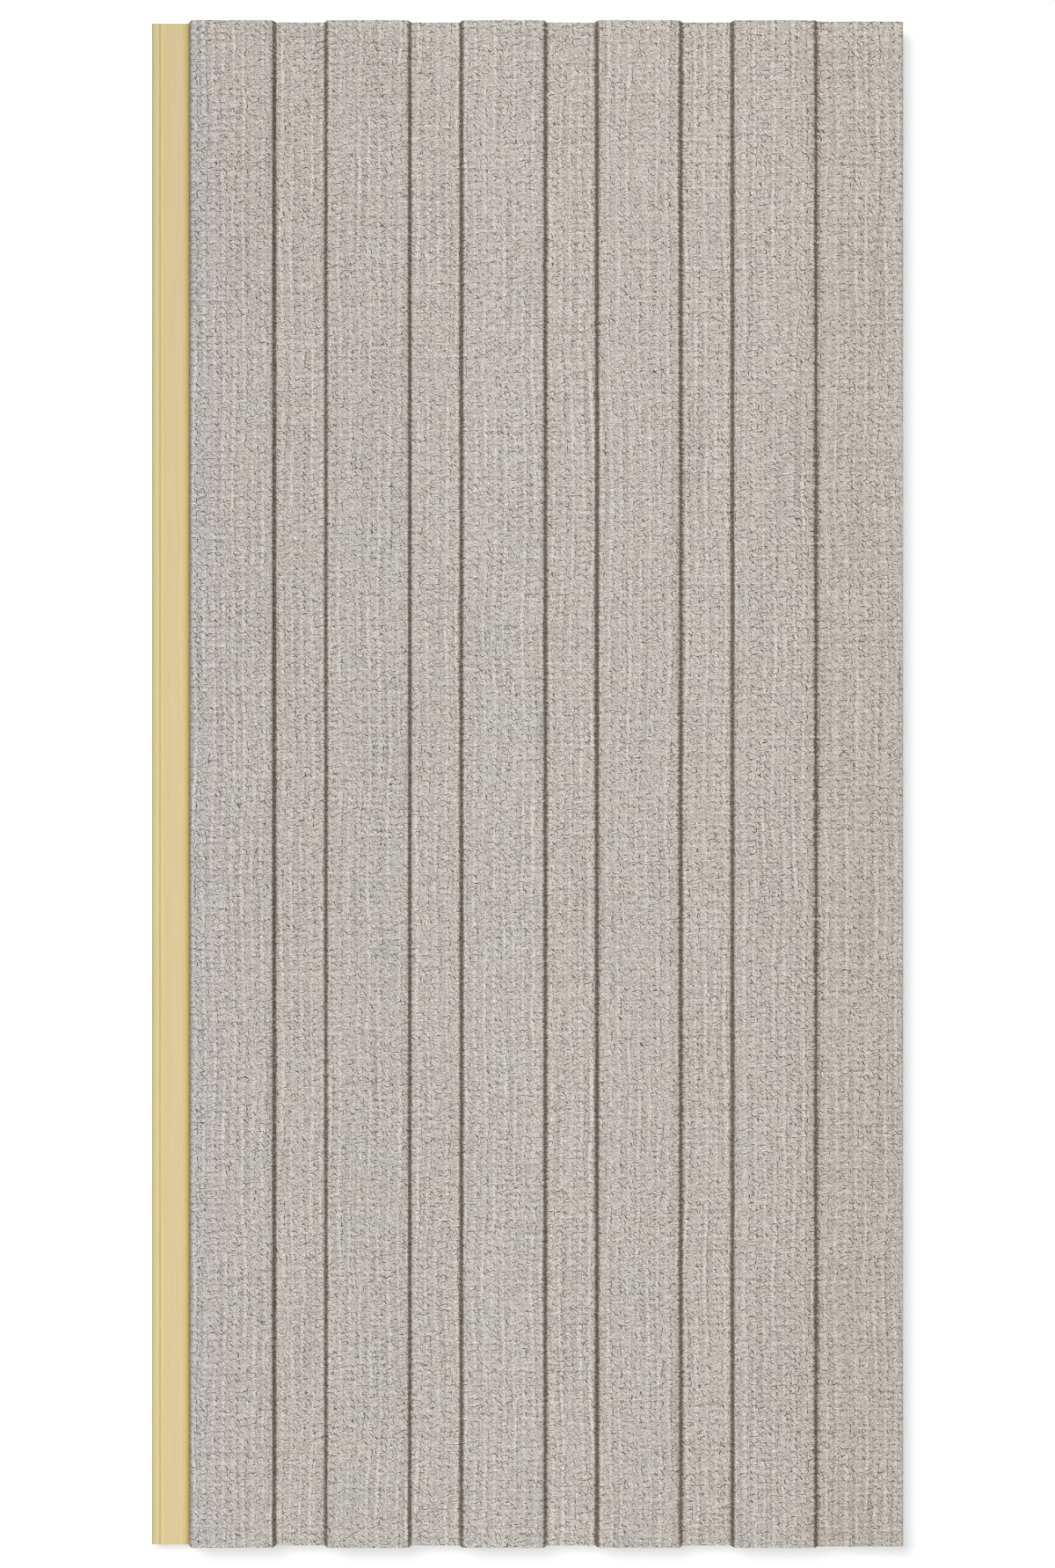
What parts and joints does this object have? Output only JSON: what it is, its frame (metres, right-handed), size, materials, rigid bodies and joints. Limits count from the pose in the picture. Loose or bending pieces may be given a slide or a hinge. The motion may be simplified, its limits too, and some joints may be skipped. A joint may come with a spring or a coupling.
{
  "type": "composite wall panel",
  "caption": "Fluted composite wall panel with raised flat bars, a bare fixing tongue along one edge, a lap along the other, and a woven-look textile film over the front.",
  "frame": {"origin": "middle of the panel's back, which it lies on", "axes": "+X across the flutes from the tongue to the lap, +Y along the flutes, +Z out of the front face"},
  "size_m": [0.195, 0.395, 0.012],
  "materials": {
    "core": "bare extruded yellow wood-plastic composite, matt, with fine lines along its length",
    "film": "warm light grey woven-look textile film with short darker threads, matt"
  },
  "bodies": {
    "root": {"panel_core": "core", "textile_film": "film"}
  },
  "joints": []
}
